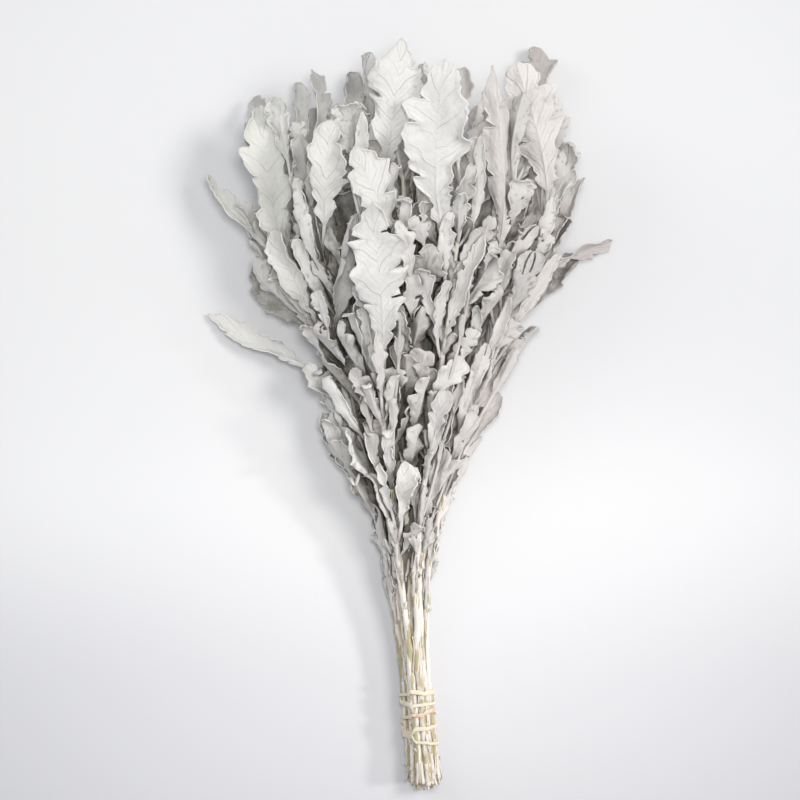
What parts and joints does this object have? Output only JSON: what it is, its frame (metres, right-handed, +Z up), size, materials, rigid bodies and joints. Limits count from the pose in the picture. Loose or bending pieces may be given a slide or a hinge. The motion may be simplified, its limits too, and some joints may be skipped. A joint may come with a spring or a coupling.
{
  "type": "dried dusty miller bunch",
  "caption": "Tied bunch of dried, white-coated dusty miller: cut leafy stems fanned out from a wound elastic band, lying on a surface.",
  "frame": {"origin": "on the surface that the bunch rests on, under the middle of its bounding box", "axes": "+Y from the cut ends to the leaf tips, +Z up away from the surface, +X to the right"},
  "size_m": [0.2463, 0.4485, 0.1165],
  "materials": {
    "foliage": "matte, dry leaf with a chalky off-white coat",
    "tie": "semi-matte cream elastic"
  },
  "bodies": {
    "root": {"leafy_stem_01": "foliage", "leafy_stem_02": "foliage", "leafy_stem_03": "foliage", "leafy_stem_04": "foliage", "leafy_stem_05": "foliage", "leafy_stem_06": "foliage", "leafy_stem_07": "foliage", "leafy_stem_08": "foliage", "leafy_stem_09": "foliage", "leafy_stem_10": "foliage", "leafy_stem_11": "foliage", "leafy_stem_12": "foliage", "tie_band": "tie"}
  },
  "joints": []
}
